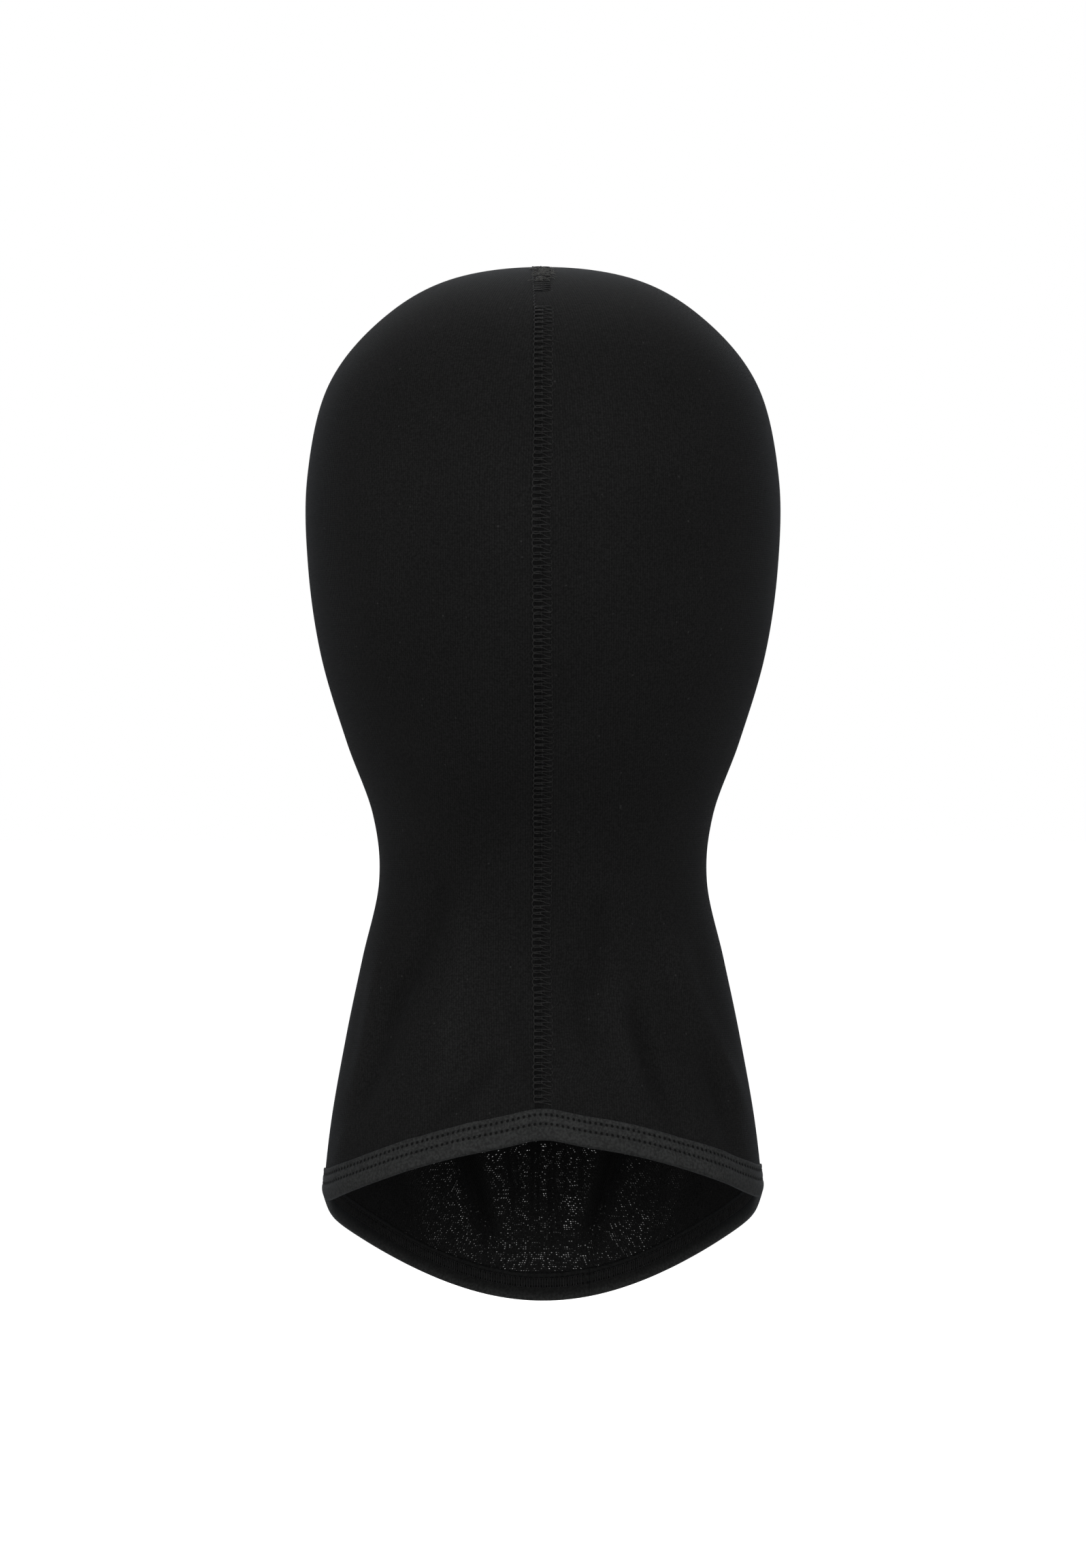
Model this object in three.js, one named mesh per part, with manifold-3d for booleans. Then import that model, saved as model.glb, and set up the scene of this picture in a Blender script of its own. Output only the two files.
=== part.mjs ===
// A thin knit balaclava, shaped as it is on a head. Millimetres, +Z up, the wearer faces -Y.
// The origin is the point where the inside of the crown rests on the head.
//
// The cloth follows one smooth surface. A point of it has an angle around the head and a station:
// angle 0 is the centre back, PI / 2 the +X side and PI the centre front; station 0 is the crown,
// and each row of STATIONS is one station further down. Every other piece is laid on that surface.
import * as THREE from 'three';
import { mergeVertices } from 'three/addons/utils/BufferGeometryUtils.js';
import Module from 'manifold-3d';

// ---- driving dimensions ----------------------------------------------------------------------

const CLOTH = 0.6; // thickness of the knit and of the binding
const GAP = 0.4; // air kept between neighbouring pieces
const THREAD = 0.25; // thickness of a line of stitching

// Cross-sections of the worn hood: height, half width, and how far it reaches back and forward.
const STATIONS = [
  { z: CLOTH / 2, half: 0, back: 0, front: 0 },
  { z: -4.3, half: 31, back: 40, front: -41 },
  { z: -18, half: 53.4, back: 71, front: -72 },
  { z: -39, half: 69.8, back: 88, front: -89 },
  { z: -68, half: 76.4, back: 95.5, front: -96 },
  { z: -97, half: 76.2, back: 97, front: -98.5 },
  { z: -126, half: 72.1, back: 92.5, front: -99.5 },
  { z: -154, half: 64, back: 79.5, front: -100 },
  { z: -178, half: 55.6, back: 63, front: -98 },
  { z: -200, half: 53.7, back: 53, front: -92 },
  { z: -225, half: 59, back: 50, front: -76 },
  { z: -250, half: 64.1, back: 53, front: -67 },
  { z: -280, half: 69.2, back: 60, front: -66 },
  { z: -310, half: 72, back: 68, front: -72 },
  { z: -345, half: 73.5, back: 76, front: -81 },
  { z: -375, half: 74, back: 82, front: -88 },
];
const WIDEST = 0.55; // where a section is widest, as a share of its depth from the front
const FULLNESS = 0.1; // how much squarer than an ellipse a section is

// The neck hem hangs lowest at the front and arches up at the back.
const HEM = { middle: -309.5, first: 26.9, second: -3.7, third: 3.5 };
const HEM_TILT = -1.1; // a little lower at the back on one side
const HEM_PEAK = { width: 0.14, height: 1.9 }; // drawn up under the centre-back seam
const HEM_SHOULDER = { angle: 1.6, width: 0.18, height: 3.1 }; // and stays up a little longer at each side
const HEM_JOIN_ANGLE = 3.36; // where the hem binding's ends meet, beside the centre front

const OPENING = { z: -122, halfWidth: 57, halfHeight: 37 }; // the oval for the eyes and nose
const OPENING_JOIN_ANGLE = -Math.PI / 2; // the face binding's ends meet at the bottom of the oval

const BINDING = 10.2; // width of the folded binding
const NEEDLE_ROWS = { outer: 8.3, inner: 5.3 }; // the two rows of stitching, from the binding's fold
const STITCH = 0.4; // width of one needle row
const BARTACK = 2; // width of the bartack over a binding's join
const SEAM = { width: 6.4, lift: 0.95 }; // the flatlock seam, and its lift off the middle of the cloth
const SLIT = 0.4; // width of the cut in the cloth under the seam
const LABEL = { width: 16, from: 9.2, to: 38 }; // the care label, from the hem's fold upwards

// How finely each piece is divided.
const CLOTH_COLUMNS = 44;
const CLOTH_ROWS = 28;
const OVAL_SEGMENTS = 28;
const BINDING_STOPS = 56;
const SEAM_STOPS = 56;
const BARTACK_STOPS = 2;
const LABEL_STOPS = 4;

const NECK_RADIUS = 75; // about how far the hem is from the middle of the neck
const BEYOND = 400; // a length that reaches past the whole hood
const STRIDE = 0.5; // stations over which the cloth's length is measured
const STEP = 1e-3; // a small step in angle or stations, to find a direction
const EXACT = 1e-7; // a difference in stations that is too small to matter

// ---- the surface -----------------------------------------------------------------------------

/** One column of STATIONS at any station, smooth, and mirrored at the crown. */
function profile(column, station) {
  const sign = column === 'z' ? 1 : -1;
  const last = STATIONS.length - 1;
  const at = (i) => (i < 0 ? sign * STATIONS[-i][column] : STATIONS[Math.min(i, last)][column]);
  const i = Math.floor(station);
  const f = station - i;
  const [a, b, c, d] = [at(i - 1), at(i), at(i + 1), at(i + 2)];
  const square = 2 * a - 5 * b + 4 * c - d;
  const cube = 3 * b - a - 3 * c + d;
  return 0.5 * (2 * b + (c - a) * f + square * f ** 2 + cube * f ** 3);
}

/** The station where the surface has a given height. */
function stationAt(z) {
  let [low, high] = [0, STATIONS.length - 1];
  while (high - low > EXACT) {
    const middle = (low + high) / 2;
    if (profile('z', middle) > z) low = middle;
    else high = middle;
  }
  return low;
}

/** A point in the middle of the cloth. */
function middlePoint(angle, station) {
  const back = profile('back', station);
  const front = profile('front', station);
  const widest = front + WIDEST * (back - front);
  const reach = Math.cos(angle) > 0 ? back - widest : widest - front;
  const x = profile('half', station) * Math.sin(angle);
  const y = widest + reach * Math.cos(angle) * (1 + FULLNESS * Math.sin(angle) ** 2);
  return new THREE.Vector3(x, y, profile('z', station));
}

/** A point off the middle of the cloth by lift, outwards. */
function point(angle, station, lift) {
  const here = middlePoint(angle, station);
  if (station < EXACT) return here.setZ(here.z + lift);
  const around = middlePoint(angle + STEP, station).sub(middlePoint(angle - STEP, station));
  const down = middlePoint(angle, station + STEP).sub(middlePoint(angle, station - STEP));
  return here.addScaledVector(around.cross(down).normalize(), lift);
}

/** The height of the hem binding's fold. */
function hemHeight(angle) {
  const waves = [HEM.middle, HEM.first, HEM.second, HEM.third];
  const arch = waves.reduce((height, size, order) => height + size * Math.cos(order * angle), 0);
  const tilt = HEM_TILT * Math.sin(angle) * (1 + Math.cos(angle)) / 2;
  const fromBack = Math.acos(Math.cos(angle));
  const peak = HEM_PEAK.height * Math.exp(-((fromBack / HEM_PEAK.width) ** 2));
  const fromShoulder = (fromBack - HEM_SHOULDER.angle) / HEM_SHOULDER.width;
  return arch + tilt + peak + HEM_SHOULDER.height * Math.exp(-(fromShoulder ** 2));
}

/** A point at a distance above the hem's fold, along the cloth. */
function aboveHem(angle, distance, lift) {
  const station = stationAt(hemHeight(angle));
  const length = middlePoint(angle, station).distanceTo(middlePoint(angle, station - STRIDE));
  return point(angle, station - (STRIDE * distance) / length, lift);
}

/** The front surface's angle at a given x and height. */
function frontAngle(x, station) {
  return Math.PI - Math.asin(x / profile('half', station));
}

/** A point at a distance outwards from the face opening's edge; turn goes around the oval. */
function besideOpening(turn, distance, lift) {
  const edge = (a) => {
    const z = OPENING.z + OPENING.halfHeight * Math.sin(a);
    const station = stationAt(z);
    const angle = frontAngle(OPENING.halfWidth * Math.cos(a), station);
    return { angle, station, at: middlePoint(angle, station) };
  };
  const here = edge(turn);
  const along = edge(turn + STEP).at.sub(edge(turn - STEP).at);
  const normal = point(here.angle, here.station, 1).sub(here.at);
  const outwards = along.cross(normal).normalize();
  const there = here.at.clone().addScaledVector(outwards, distance);
  const station = stationAt(there.z);
  return point(frontAngle(there.x, station), station, lift);
}

/** A point on the seam line; station is negative in front of the crown, and x goes across. */
function onSeam(station, x, lift) {
  const centre = point(station < 0 ? Math.PI : 0, Math.abs(station), lift);
  return centre.setX(x);
}

// ---- building blocks -------------------------------------------------------------------------

function geometryOf(positions, triangles) {
  const geometry = new THREE.BufferGeometry();
  geometry.setAttribute('position', new THREE.Float32BufferAttribute(positions, 3));
  geometry.setIndex(triangles);
  geometry.computeVertexNormals();
  return geometry;
}

/** The volume that a closed mesh holds, negative if its faces point in. */
function volumeOf(positions, triangles) {
  let volume = 0;
  for (let i = 0; i < triangles.length; i += 3) {
    const [a, b, c] = [0, 1, 2].map((k) => new THREE.Vector3().fromArray(positions, 3 * triangles[i + k]));
    volume += a.dot(b.cross(c)) / 6;
  }
  return volume;
}

/** Turns a closed mesh's faces outwards. */
function facingOut(positions, triangles) {
  if (volumeOf(positions, triangles) > 0) return geometryOf(positions, triangles);
  return geometryOf(positions, triangles.slice().reverse());
}

/** A closed section of [across, lift] corners, carried along the stops by place(stop, across, lift). */
function swept(place, corners, stops) {
  const outline = corners.map(([across, lift]) => new THREE.Vector2(across, lift));
  if (THREE.ShapeUtils.isClockWise(outline)) outline.reverse();
  const section = outline.map((corner) => [corner.x, corner.y]);
  const positions = [];
  for (const stop of stops) {
    for (const [across, lift] of section) positions.push(...place(stop, across, lift));
  }
  const triangles = [];
  const size = section.length;
  for (let i = 0; i + 1 < stops.length; i++) {
    for (let j = 0; j < size; j++) {
      const [a, b] = [i * size + j, i * size + ((j + 1) % size)];
      triangles.push(a, b, b + size, a, b + size, a + size);
    }
  }
  const last = (stops.length - 1) * size;
  for (const [a, b, c] of THREE.ShapeUtils.triangulateShape(outline, [])) {
    triangles.push(c, b, a, last + a, last + b, last + c);
  }
  return facingOut(positions, triangles);
}

/** count + 1 evenly spaced values. */
function spread(from, to, count) {
  return Array.from({ length: count + 1 }, (_, i) => from + ((to - from) * i) / count);
}

/** A strip's section: its edges across, and its lift from low to high. */
function strip(from, to, low, high) {
  return [[from, low], [to, low], [to, high], [from, high]];
}

// ---- booleans --------------------------------------------------------------------------------

const wasm = await Module();
wasm.setup();

function solidOf(geometry) {
  geometry.deleteAttribute('normal');
  geometry.deleteAttribute('uv');
  const merged = mergeVertices(geometry);
  const vertProperties = new Float32Array(merged.attributes.position.array);
  const triVerts = new Uint32Array(merged.index.array);
  return new wasm.Manifold(new wasm.Mesh({ numProp: 3, vertProperties, triVerts }));
}

function geometryFrom(solid) {
  const mesh = solid.getMesh();
  return geometryOf(Array.from(mesh.vertProperties), Array.from(mesh.triVerts));
}

function boxSolid(low, high) {
  const size = new THREE.Vector3().subVectors(high, low);
  const geometry = new THREE.BoxGeometry(size.x, size.y, size.z);
  const centre = new THREE.Vector3().addVectors(low, high).multiplyScalar(0.5);
  geometry.translate(centre.x, centre.y, centre.z);
  return solidOf(geometry);
}

// ---- the pieces ------------------------------------------------------------------------------

/** The whole hood before its opening and slit are cut: an outer and an inner skin, joined at the hem. */
function uncutHood() {
  const positions = [];
  const triangles = [];
  const edge = CLOTH + GAP;
  for (const lift of [CLOTH / 2, -CLOTH / 2]) {
    positions.push(...point(0, 0, lift));
    for (let row = 1; row <= CLOTH_ROWS; row++) {
      for (let column = 0; column < CLOTH_COLUMNS; column++) {
        positions.push(...hoodPoint(column, row / CLOTH_ROWS, edge, lift));
      }
    }
  }
  const skin = 1 + CLOTH_ROWS * CLOTH_COLUMNS;
  const index = (side, row, column) =>
    side * skin + (row === 0 ? 0 : 1 + (row - 1) * CLOTH_COLUMNS + (column % CLOTH_COLUMNS));
  const quad = (a, b, c, d) => triangles.push(a, b, c, a, c, d);
  for (let column = 0; column < CLOTH_COLUMNS; column++) {
    triangles.push(index(0, 0, 0), index(0, 1, column), index(0, 1, column + 1));
    triangles.push(index(1, 0, 0), index(1, 1, column + 1), index(1, 1, column));
    for (let row = 1; row < CLOTH_ROWS; row++) {
      const [left, right] = [column, column + 1];
      quad(index(0, row, left), index(0, row + 1, left), index(0, row + 1, right), index(0, row, right));
      quad(index(1, row, right), index(1, row + 1, right), index(1, row + 1, left), index(1, row, left));
    }
    const rim = [index(0, CLOTH_ROWS, column), index(1, CLOTH_ROWS, column)];
    quad(rim[0], rim[1], index(1, CLOTH_ROWS, column + 1), index(0, CLOTH_ROWS, column + 1));
  }
  return facingOut(positions, triangles);
}

/** A point of the hood's grid; its rows are level at the crown and follow the hem at the bottom. */
function hoodPoint(column, share, edge, lift) {
  const angle = (column / CLOTH_COLUMNS) * 2 * Math.PI;
  const station = stationAt(hemHeight(angle) + edge);
  const level = stationAt(HEM.middle);
  return point(angle, share * (level + (station - level) * share ** 3), lift);
}

/** The knit body: slit from the opening over the crown to the back hem, folded at the centre front. */
function hoodBody() {
  const edge = CLOTH + GAP;
  const outline = new THREE.Shape();
  outline.absellipse(0, OPENING.z, OPENING.halfWidth + edge, OPENING.halfHeight + edge, 0, 2 * Math.PI);
  const shape = { depth: BEYOND, curveSegments: OVAL_SEGMENTS, bevelEnabled: false };
  const oval = new THREE.ExtrudeGeometry(outline, shape);
  oval.rotateX(Math.PI / 2);
  const plug = solidOf(oval);
  const half = SLIT / 2;
  const backSlit = boxSolid(
    new THREE.Vector3(-half, -half, -BEYOND),
    new THREE.Vector3(half, BEYOND, BEYOND),
  );
  const frontSlit = boxSolid(
    new THREE.Vector3(-half, -BEYOND, OPENING.z),
    new THREE.Vector3(half, half, BEYOND),
  );
  return geometryFrom(solidOf(uncutHood()).subtract(plug).subtract(backSlit.add(frontSlit)));
}

/** The binding's section: a fold at distance 0 and a leg on each side of the cloth. */
function bindingSection() {
  const inner = CLOTH / 2 + GAP;
  const outer = inner + CLOTH;
  return [
    [BINDING, outer],
    [CLOTH, outer],
    [0, outer - CLOTH],
    [0, CLOTH - outer],
    [CLOTH, -outer],
    [BINDING, -outer],
    [BINDING, -inner],
    [CLOTH, -inner],
    [CLOTH, inner],
    [BINDING, inner],
  ];
}

/** Everything sewn along one edge: the binding, its needle rows, its looper thread and its bartack. */
function boundEdge(place, joinAngle, radius) {
  const around = (clear) => {
    const half = clear / 2 / radius;
    return spread(joinAngle + half, joinAngle + 2 * Math.PI - half, BINDING_STOPS);
  };
  const face = CLOTH / 2 + GAP + CLOTH + GAP;
  const row = (from) => strip(from - STITCH / 2, from + STITCH / 2, face, face + THREAD);
  const loops = strip(NEEDLE_ROWS.inner - STITCH, NEEDLE_ROWS.outer + STITCH, -face - THREAD, -face);
  const tack = strip(GAP, BINDING - GAP, face, face + THREAD);
  const clear = BARTACK + 2 * GAP;
  const halfTack = BARTACK / 2 / radius;
  return {
    binding: swept(place, bindingSection(), around(2 * GAP)),
    outerRow: swept(place, row(NEEDLE_ROWS.outer), around(clear)),
    innerRow: swept(place, row(NEEDLE_ROWS.inner), around(clear)),
    looper: swept(place, loops, around(clear)),
    bartack: swept(place, tack, spread(joinAngle - halfTack, joinAngle + halfTack, BARTACK_STOPS)),
  };
}

/** The flatlock seam's thread on one side of the cloth, from binding to binding. */
function seamThread(side) {
  const start = -stationAt(OPENING.z + OPENING.halfHeight + BINDING + 2 * GAP);
  const end = stationAt(hemHeight(0) + BINDING + 2 * GAP);
  const near = side * SEAM.lift;
  const section = strip(-SEAM.width / 2, SEAM.width / 2, near, near + side * THREAD);
  return swept(onSeam, section, spread(start, end, SEAM_STOPS));
}

function careLabel() {
  const depth = CLOTH / 2 + 2 * GAP + CLOTH;
  const half = LABEL.width / 2 / Math.abs(profile('back', stationAt(hemHeight(0))));
  const section = strip(LABEL.from, LABEL.to, -depth - THREAD, -depth);
  return swept(aboveHem, section, spread(-half, half, LABEL_STOPS));
}

// ---- the balaclava ---------------------------------------------------------------------------

function material(color, roughness) {
  return new THREE.MeshStandardMaterial({ color, roughness, metalness: 0 });
}

const KNIT = material('#1a1a1b', 0.9);
const ELASTIC = material('#2f302f', 0.75);
const SEWING = material('#2b2b2c', 0.7);
const LABEL_SATIN = material('#b9b9b4', 0.5);

const balaclava = new THREE.Group();

function add(name, geometry, look) {
  const mesh = new THREE.Mesh(geometry, look);
  mesh.name = name;
  balaclava.add(mesh);
}

const hem = boundEdge(aboveHem, HEM_JOIN_ANGLE, NECK_RADIUS);
const face = boundEdge(besideOpening, OPENING_JOIN_ANGLE, OPENING.halfWidth);

add('hood_body', hoodBody(), KNIT);
add('hem_binding', hem.binding, ELASTIC);
add('hem_stitch_upper', hem.outerRow, SEWING);
add('hem_stitch_lower', hem.innerRow, SEWING);
add('hem_looper_thread', hem.looper, SEWING);
add('hem_bartack', hem.bartack, SEWING);
add('face_binding', face.binding, ELASTIC);
add('face_stitch_outer', face.outerRow, SEWING);
add('face_stitch_inner', face.innerRow, SEWING);
add('face_looper_thread', face.looper, SEWING);
add('face_bartack', face.bartack, SEWING);
add('back_seam_cover_thread', seamThread(1), SEWING);
add('back_seam_looper_thread', seamThread(-1), SEWING);
add('care_label', careLabel(), LABEL_SATIN);

export default balaclava;
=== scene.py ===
"""A thin knit balaclava in the shape it has on a head: cloth, bindings, seams and stitching, with a plain
studio.

Lengths are in metres, +Z is up and the wearer faces -Y. The cloth follows one smooth surface: a point
of it has an angle around the head (0 at the centre back, pi at the centre front) and a station, which
is 0 at the crown and counts the rows of STATIONS going down. Everything else is laid on that surface.
"""

import math

import bpy
import numpy as np
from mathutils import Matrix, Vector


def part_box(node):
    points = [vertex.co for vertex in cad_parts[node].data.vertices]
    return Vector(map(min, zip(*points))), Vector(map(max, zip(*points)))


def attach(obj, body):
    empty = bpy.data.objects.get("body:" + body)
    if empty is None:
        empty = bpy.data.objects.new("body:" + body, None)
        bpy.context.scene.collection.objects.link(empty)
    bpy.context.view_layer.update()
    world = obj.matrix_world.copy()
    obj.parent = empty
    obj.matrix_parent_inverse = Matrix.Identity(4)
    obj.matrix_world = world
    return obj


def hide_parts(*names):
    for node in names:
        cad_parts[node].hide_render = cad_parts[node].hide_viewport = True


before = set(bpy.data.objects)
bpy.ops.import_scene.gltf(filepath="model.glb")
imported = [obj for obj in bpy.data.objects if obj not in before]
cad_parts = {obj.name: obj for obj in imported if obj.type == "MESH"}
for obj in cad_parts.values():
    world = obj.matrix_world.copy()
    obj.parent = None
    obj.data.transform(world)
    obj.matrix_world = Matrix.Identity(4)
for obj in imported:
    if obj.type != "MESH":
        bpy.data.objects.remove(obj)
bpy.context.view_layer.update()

MM = 0.001
rng = np.random.default_rng(7)

# ---- driving sizes ------------------------------------------------------------------------------

CLOTH = 0.4 * MM  # thickness of the knit
WALL = 0.42 * MM  # thickness of the binding's cloth
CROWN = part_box("hood_body")[1].z - 0.3 * MM

# Cross-sections of the hood as it sits on a head: height, half width, reach to the back and to the front.
STATIONS = MM * np.array([
    (CROWN / MM, 0, 0, 0),
    (-4.3, 31, 40, -41),
    (-18, 53.4, 71, -72),
    (-39, 69.8, 88, -89),
    (-68, 76.4, 95.5, -96),
    (-97, 76.2, 97, -98.5),
    (-126, 72.1, 92.5, -99.5),
    (-154, 64, 79.5, -100),
    (-178, 55.6, 63, -98),
    (-200, 53.7, 53, -92),
    (-225, 59, 50, -76),
    (-250, 64.1, 53, -67),
    (-280, 69.2, 60, -66),
    (-310, 72, 68, -72),
    (-345, 73.5, 76, -81),
    (-375, 74, 82, -88),
])
LAST_STATION = len(STATIONS) - 1
WIDEST = 0.55  # where a section is widest, as a share of its depth from the front
FULLNESS = 0.1  # how much squarer than an ellipse a section is
HEM = (-309.5 * MM, 26.9 * MM, -3.7 * MM, 3.5 * MM)  # the hem's height as waves around the neck
HEM_TILT = -1.1 * MM  # how much lower one side of the back is
HEM_PEAK = (0.14, 1.9 * MM)  # a rise under the centre-back seam: its width and height
HEM_SHOULDER = (1.6, 0.18, 3.1 * MM)  # a rise at each side: its angle, width and height
HEM_JOIN = 3.36  # the angle where the hem binding's ends meet

OPENING_Z = -122 * MM
OPENING_HALF = (57 * MM, 37 * MM)  # the face opening's half width and half height

BINDING = 10.2 * MM  # width of the folded binding
ROW_OUTER = 8.3 * MM  # the needle rows, from the binding's fold
ROW_INNER = 5.3 * MM
NEEDLE_ROWS = (ROW_OUTER, ROW_INNER)
STITCH = 1.8 * MM  # length of one stitch
SEAM_LINES = (2.8 * MM, 0.4 * MM, -2.7 * MM)  # the flatlock seam's three needle lines, as x

SEAM_BED = 0.24 * MM  # how deep the seam lies in the cloth
LADDER = 2.1 * MM  # the pitch of the seam's rungs
SKIPPED = (-12.0 * MM, -17.4 * MM)  # heights at the back between which the seam has lost its rungs
SEAM_SHADOW = (3.2 * MM, 2.4 * MM)  # where the seam's shadow starts and is full, from the middle
# The frayed ends in this patch are pale: a painted highlight of the light that catches the seam behind
# the crown.
FRAYED = (30 * MM, 53 * MM)  # the frayed patch, as distances behind the crown along the seam

WALE = 0.80 * MM  # the knit's columns
COURSE = 0.68 * MM  # and its rows
BIB_TOP = (-245 * MM, -275 * MM)  # heights where the bib's pinholes start, and are whole
BIB_BACK = (-15 * MM, -35 * MM)  # the same from the back, as y

# ---- the surface --------------------------------------------------------------------------------


def spline(a, b, c, d, f):
    """A smooth curve from b to c, with a before them and d after."""
    square = 2 * a - 5 * b + 4 * c - d
    cube = 3 * b - a - 3 * c + d
    return 0.5 * (2 * b + (c - a) * f + square * f**2 + cube * f**3)


def profile(column, station):
    """One column of STATIONS at any station: a smooth curve, mirrored at the crown."""
    sign = 1 if column == 0 else -1
    low = np.floor(station).astype(int)

    def at(i):
        value = STATIONS[np.minimum(np.abs(i), LAST_STATION), column]
        return np.where(i < 0, sign * value, value)

    return spline(at(low - 1), at(low), at(low + 1), at(low + 2), station - low)


FINE_STATIONS = np.linspace(0, LAST_STATION, 6001)
FINE_HEIGHTS = profile(0, FINE_STATIONS)


def station_at(z):
    """The station where the surface has a given height."""
    return np.interp(-np.asarray(z, float), -FINE_HEIGHTS, FINE_STATIONS)


def middle(angle, station):
    """The smooth surface, before folds."""
    back, front = profile(2, station), profile(3, station)
    widest = front + WIDEST * (back - front)
    reach = np.where(np.cos(angle) > 0, back - widest, widest - front)
    x = profile(1, station) * np.sin(angle)
    y = widest + reach * np.cos(angle) * (1 + FULLNESS * np.sin(angle) ** 2)
    return np.stack(np.broadcast_arrays(x, y, profile(0, station)), axis=-1)


def unit(v):
    """Vectors of length 1."""
    return v / np.maximum(np.linalg.norm(v, axis=-1, keepdims=True), 1e-12)


def normal_of(place, angle, station):
    """The outward direction of a surface."""
    step = 2e-3
    around = place(angle + step, station) - place(angle - step, station)
    down = place(angle, station + step) - place(angle, np.maximum(station - step, 1e-4))
    return unit(np.cross(around, down))


# Soft folds: x and z of the upper end, x and z of the lower end, half width, and height (a valley is
# below zero). The back's hang from the nape and the front's from the chin.
BACK_FOLDS = MM * np.array([
    (31, -198, 46, -238, 3.6, -1.8),
    (45, -228, 61, -275, 3.8, -1.9),
    (24, -215, 42, -286, 4.6, 1.7),
    (34, -252, 39, -285, 2.8, -1.2),
    (52, -222, 66, -292, 3.4, 1.4),
    (9, -238, 4, -264, 2.2, -1.2),
    (15, -254, 35, -277, 2.6, -1.8),
    (14, -262, 27, -282, 2.4, 1.1),
    (-19, -204, -17, -234, 3.2, -1.4),
    (-11, -228, -15, -252, 2.8, -1.6),
    (-22, -222, -30, -268, 4.2, 1.4),
    (-28, -236, -43, -280, 3.2, -2.1),
    (-40, -212, -62, -268, 4.2, 1.7),
    (-52, -248, -66, -300, 3.2, -1.8),
])
FRONT_FOLDS = MM * np.array([
    (36, -232, 15.5, -330, 3.0, 6.2),
    (-34, -232, -13.5, -330, 2.9, 6.0),
    (57, -240, 38, -322, 5, 2.2),
    (-60, -244, -41, -318, 5, 2.0),
    (-40, -280, -34, -328, 2.4, 1.7),
    (11.5, -262, 9.5, -306, 1.7, 1.7),
    (8.8, -300, 8.3, -325, 1.5, 1.3),
    (2.8, -256, 2.4, -309, 1.3, 1.8),
    (-3.1, -256, -2.9, -310, 1.3, 1.8),
    (-3.8, -302, -4.2, -326, 1.6, 1.4),
    (-6.8, -260, -6.2, -306, 1.3, 1.6),
    (-12, -262, -11.4, -306, 1.7, 1.3),
    (3.4, -300, 2.8, -328, 1.5, 0.9),
])
THROAT_FOLDS = MM * np.array([(-231, 4.5, 1.8), (-243, 4, -1.4), (-254, 4.5, 1.2)])


def smooth(x):
    """A smooth step: 0 up to 0, and 1 from 1."""
    x = np.clip(x, 0, 1)
    return x * x * (3 - 2 * x)


def fold_sum(folds, x, z):
    """The height of all the folds at a place: round ridges, slightly bowed, that fade at their ends."""
    total = np.zeros(np.broadcast(x, z).shape)
    for x_top, z_top, x_low, z_low, width, height in folds:
        along = (z_top - z) / (z_top - z_low)
        bend = 0.12 * (x_low - x_top) * np.sin(math.pi * np.clip(along, 0, 1))
        off = (x - x_top - (x_low - x_top) * along + bend) / width
        ends = smooth(along / 0.35 + 0.35) * smooth((1.25 - along) / 0.4)
        total += height * ends * np.exp(-off**2)
    return total


def fold_height(angle, station):
    """How far the cloth stands off the smooth surface."""
    at = middle(angle, station)
    x, z = at[..., 0], at[..., 2]
    back = smooth(np.cos(angle) * 2.5)
    front = smooth(-np.cos(angle) * 2.5)
    above_edge = smooth((z - hem_height(angle)) / (26 * MM) - 0.18)
    total = back * fold_sum(BACK_FOLDS, x, z) * (0.35 + 0.65 * above_edge)
    total += front * fold_sum(FRONT_FOLDS, x, z) * above_edge
    for height, width, size in THROAT_FOLDS:
        wave = np.exp(-(((z - height - 0.11 * np.abs(x)) / width) ** 2))
        total += front * size * wave * np.exp(-((x / (34 * MM)) ** 2))
    return total


def cloth(angle, station):
    """The middle of the cloth: with its folds, and turned in a little towards the hem at each side."""
    at = middle(angle, station)
    low = smooth((hem_height(angle) + 4.5 * MM - at[..., 2]) / (7 * MM))
    turned_in = 1.8 * MM * low * np.abs(np.sin(angle)) ** 6
    off = fold_height(angle, station) - turned_in
    return at + normal_of(middle, angle, station) * off[..., None]


def lifted(angle, station, lift):
    """A point off the middle of the cloth."""
    return cloth(angle, station) + normal_of(cloth, angle, station) * np.asarray(lift)[..., None]


def hem_height(angle):
    """The height of the hem's fold."""
    arch = sum(size * np.cos(order * angle) for order, size in enumerate(HEM))
    from_back = np.arccos(np.cos(angle))
    tilt = HEM_TILT * np.sin(angle) * (1 + np.cos(angle)) / 2
    peak = HEM_PEAK[1] * np.exp(-((from_back / HEM_PEAK[0]) ** 2))
    where, width, height = HEM_SHOULDER
    return arch + tilt + peak + height * np.exp(-(((from_back - where) / width) ** 2))


def above_hem(angle, distance, lift):
    """A point at a distance above the hem's fold."""
    station = station_at(hem_height(angle))
    reach = np.linalg.norm(middle(angle, station) - middle(angle, station - 0.5), axis=-1)
    return lifted(angle, station - 0.5 * distance / reach, lift)


def opening_edge(turn):
    """Angle and station of the face opening's edge; turn goes around the oval."""
    station = station_at(OPENING_Z + OPENING_HALF[1] * np.sin(turn))
    across = OPENING_HALF[0] * np.cos(turn) / profile(1, station)
    return math.pi - np.arcsin(across), station


def beside_opening(turn, distance, lift):
    """A point at a distance outwards from the face opening's edge."""
    edge = middle(*opening_edge(turn))
    along = middle(*opening_edge(turn + 1e-3)) - middle(*opening_edge(turn - 1e-3))
    outwards = unit(np.cross(along, normal_of(middle, *opening_edge(turn))))
    there = edge + outwards * np.asarray(distance)[..., None]
    station = station_at(there[..., 2])
    return lifted(math.pi - np.arcsin(there[..., 0] / profile(1, station)), station, lift)


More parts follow.
